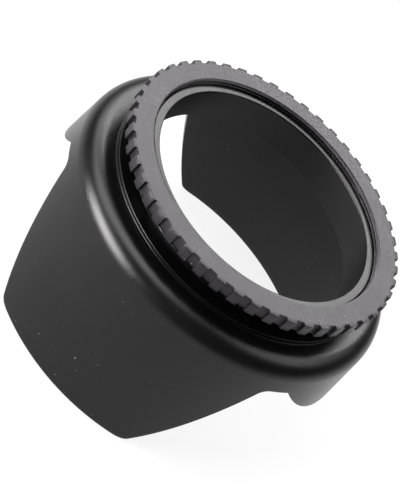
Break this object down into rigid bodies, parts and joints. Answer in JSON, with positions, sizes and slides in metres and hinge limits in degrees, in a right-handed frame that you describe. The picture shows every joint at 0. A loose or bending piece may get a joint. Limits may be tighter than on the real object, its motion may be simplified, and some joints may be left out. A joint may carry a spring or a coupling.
{
  "type": "lens hood",
  "caption": "Screw-in petal lens hood: flared petal shade with a threaded neck and a knurled locking ring.",
  "frame": {"origin": "on the floor under the middle of the hood, which stands on the tips of its two long petals", "axes": "+Z along the optical axis towards the lens, long petals on the Y axis, short petals on the X axis"},
  "size_m": [0.0798, 0.0828, 0.0435],
  "materials": {
    "hood_plastic": "satin black",
    "ring_plastic": "fine matt black"
  },
  "bodies": {
    "hood": {"hood_body": "hood_plastic"},
    "ring": {"locking_ring": "ring_plastic"}
  },
  "joints": [
    {"name": "ring_turn", "type": "hinge", "parent": "hood", "child": "ring", "pos_m": [0, 0, 0.042], "axis": [0, 0, 1], "range_deg": [-2160, 360]}
  ]
}
